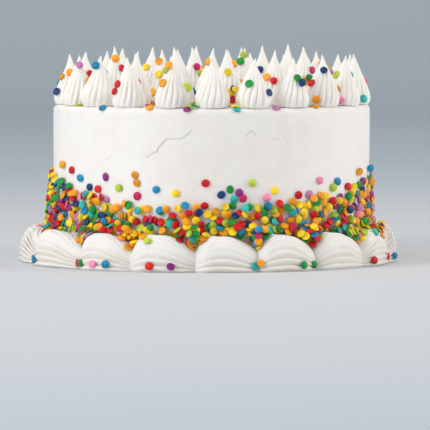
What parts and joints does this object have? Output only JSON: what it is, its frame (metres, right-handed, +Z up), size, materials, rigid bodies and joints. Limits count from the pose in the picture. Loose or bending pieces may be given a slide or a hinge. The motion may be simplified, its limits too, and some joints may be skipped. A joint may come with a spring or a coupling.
{
  "type": "frosted layer cake",
  "caption": "Round cake in smooth white icing with pointed piped peaks on top, a piped border at its foot and round sprinkles on its lower side.",
  "frame": {"origin": "centre of the cake's flat foot, on the surface that it stands on", "axes": "+Z up along the cake's axis, -Y towards the front of the picture, +X to its right"},
  "size_m": [0.2584, 0.2615, 0.1474],
  "materials": {
    "icing": "white buttercream icing, soft satin, with fine spatula marks on its smooth side and ridges from a star nozzle on its piping",
    "sprinkles": "round flat sugar discs in red, orange, yellow, lime, green, teal, blue, purple and pink, semi-matt"
  },
  "bodies": {
    "root": {"foot_shell_01": "icing", "foot_shell_02": "icing", "foot_shell_03": "icing", "foot_shell_04": "icing", "foot_shell_05": "icing", "foot_shell_06": "icing", "foot_shell_07": "icing", "foot_shell_08": "icing", "foot_shell_09": "icing", "foot_shell_10": "icing", "foot_shell_11": "icing", "foot_shell_12": "icing", "foot_shell_13": "icing", "foot_shell_14": "icing", "foot_shell_15": "icing", "foot_shell_16": "icing", "foot_shell_17": "icing", "foot_shell_18": "icing", "frosted_cake": "icing", "middle_peak_01": "icing", "rim_peak_01": "icing", "rim_peak_02": "icing", "rim_peak_03": "icing", "rim_peak_04": "icing", "rim_peak_05": "icing", "rim_peak_06": "icing", "rim_peak_07": "icing", "rim_peak_08": "icing", "rim_peak_09": "icing", "rim_peak_10": "icing", "rim_peak_11": "icing", "rim_peak_12": "icing", "rim_peak_13": "icing", "rim_peak_14": "icing", "rim_peak_15": "icing", "rim_peak_16": "icing", "rim_peak_17": "icing", "rim_peak_18": "icing", "rim_peak_19": "icing", "rim_peak_20": "icing", "rim_peak_21": "icing", "rim_peak_22": "icing", "second_peak_01": "icing", "second_peak_02": "icing", "second_peak_03": "icing", "second_peak_04": "icing", "second_peak_05": "icing", "second_peak_06": "icing", "second_peak_07": "icing", "second_peak_08": "icing", "second_peak_09": "icing", "second_peak_10": "icing", "second_peak_11": "icing", "second_peak_12": "icing", "third_peak_01": "icing", "third_peak_02": "icing", "third_peak_03": "icing", "third_peak_04": "icing", "third_peak_05": "icing", "third_peak_06": "icing"}
  },
  "joints": []
}
